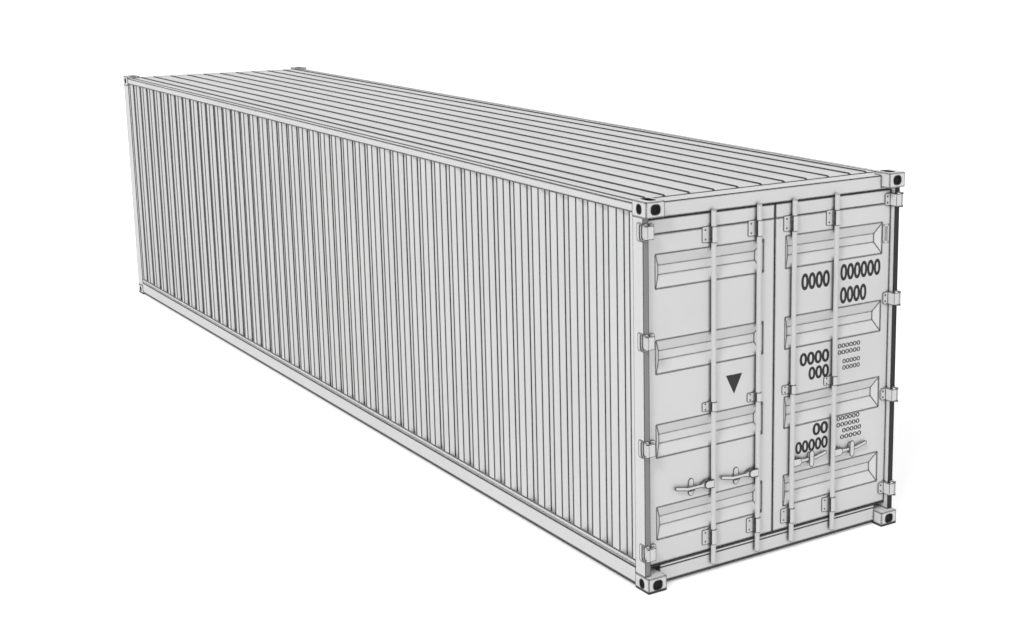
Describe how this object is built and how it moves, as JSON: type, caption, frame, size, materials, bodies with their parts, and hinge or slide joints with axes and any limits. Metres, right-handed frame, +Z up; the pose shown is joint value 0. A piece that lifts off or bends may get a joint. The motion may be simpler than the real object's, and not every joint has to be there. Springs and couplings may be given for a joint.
{
  "type": "shipping container",
  "caption": "Steel freight container with corrugated walls, a ribbed roof, slotted corner castings, two hinged end doors, turning lock rods and lifting lever handles.",
  "frame": {"origin": "middle of the base, on the plane that the four lower corner castings stand on", "axes": "+X along the length towards the door end, +Y across towards the right-hand side as seen from outside facing the doors, +Z up"},
  "size_m": [12.192, 2.438, 2.896],
  "materials": {
    "body_paint": "matt",
    "hardware_paint": "satin",
    "casting_steel": "painted",
    "seal_rubber": "matt",
    "deck_wood": "worn plywood"
  },
  "bodies": {
    "container": {"bottom_rail_left": "body_paint", "bottom_rail_right": "body_paint", "corner_casting_front_left_bottom": "casting_steel", "corner_casting_front_left_top": "casting_steel", "corner_casting_front_right_bottom": "casting_steel", "corner_casting_front_right_top": "casting_steel", "corner_casting_rear_left_bottom": "casting_steel", "corner_casting_rear_left_top": "casting_steel", "corner_casting_rear_right_bottom": "casting_steel", "corner_casting_rear_right_top": "casting_steel", "cross_members": "body_paint", "door_header": "body_paint", "door_sill": "body_paint", "floor": "deck_wood", "front_bottom_rail": "body_paint", "front_post_left": "body_paint", "front_post_right": "body_paint", "front_top_rail": "body_paint", "front_wall": "body_paint", "hinge_lugs_left": "hardware_paint", "hinge_lugs_right": "hardware_paint", "rear_post_left": "body_paint", "rear_post_right": "body_paint", "roof_front_plate": "body_paint", "roof_panel": "body_paint", "side_wall_left": "body_paint", "side_wall_right": "body_paint", "top_rail_left": "body_paint", "top_rail_right": "body_paint"},
    "left_door": {"left_door_frame": "body_paint", "left_door_panel": "body_paint", "left_door_gasket": "seal_rubber", "left_hinge_blades": "hardware_paint", "left_rod_brackets": "hardware_paint"},
    "left_inner_rod": {"left_inner_lock_rod": "hardware_paint"},
    "left_inner_lever": {"left_inner_handle": "hardware_paint"},
    "left_outer_rod": {"left_outer_lock_rod": "hardware_paint"},
    "left_outer_lever": {"left_outer_handle": "hardware_paint"},
    "right_door": {"right_door_frame": "body_paint", "right_door_panel": "body_paint", "right_door_gasket": "seal_rubber", "right_hinge_blades": "hardware_paint", "right_rod_brackets": "hardware_paint", "data_plate": "body_paint"},
    "right_inner_rod": {"right_inner_lock_rod": "hardware_paint"},
    "right_inner_lever": {"right_inner_handle": "hardware_paint"},
    "right_outer_rod": {"right_outer_lock_rod": "hardware_paint"},
    "right_outer_lever": {"right_outer_handle": "hardware_paint"}
  },
  "joints": [
    {"name": "left_door_swing", "type": "hinge", "parent": "container", "child": "left_door", "pos_m": [6.079, -1.207, 0], "axis": [0, 0, -1], "range_deg": [0, 270]},
    {"name": "left_inner_rod_turn", "type": "hinge", "parent": "left_door", "child": "left_inner_rod", "pos_m": [6.028, -0.168, 0], "axis": [0, 0, -1], "range_deg": [-90, 0]},
    {"name": "left_inner_lever_lift", "type": "hinge", "parent": "left_inner_rod", "child": "left_inner_lever", "pos_m": [6.028, -0.226, 0.709], "axis": [1, 0, 0], "range_deg": [-40, 0]},
    {"name": "left_outer_rod_turn", "type": "hinge", "parent": "left_door", "child": "left_outer_rod", "pos_m": [6.028, -0.585, 0], "axis": [0, 0, -1], "range_deg": [-90, 0]},
    {"name": "left_outer_lever_lift", "type": "hinge", "parent": "left_outer_rod", "child": "left_outer_lever", "pos_m": [6.028, -0.643, 0.709], "axis": [1, 0, 0], "range_deg": [-40, 0]},
    {"name": "right_door_swing", "type": "hinge", "parent": "container", "child": "right_door", "pos_m": [6.079, 1.207, 0], "axis": [0, 0, 1], "range_deg": [0, 270]},
    {"name": "right_inner_rod_turn", "type": "hinge", "parent": "right_door", "child": "right_inner_rod", "pos_m": [6.028, 0.168, 0], "axis": [0, 0, 1], "range_deg": [-90, 0]},
    {"name": "right_inner_lever_lift", "type": "hinge", "parent": "right_inner_rod", "child": "right_inner_lever", "pos_m": [6.028, 0.226, 0.709], "axis": [-1, 0, 0], "range_deg": [-40, 0]},
    {"name": "right_outer_rod_turn", "type": "hinge", "parent": "right_door", "child": "right_outer_rod", "pos_m": [6.028, 0.585, 0], "axis": [0, 0, 1], "range_deg": [-90, 0]},
    {"name": "right_outer_lever_lift", "type": "hinge", "parent": "right_outer_rod", "child": "right_outer_lever", "pos_m": [6.028, 0.643, 0.709], "axis": [-1, 0, 0], "range_deg": [-40, 0]}
  ]
}
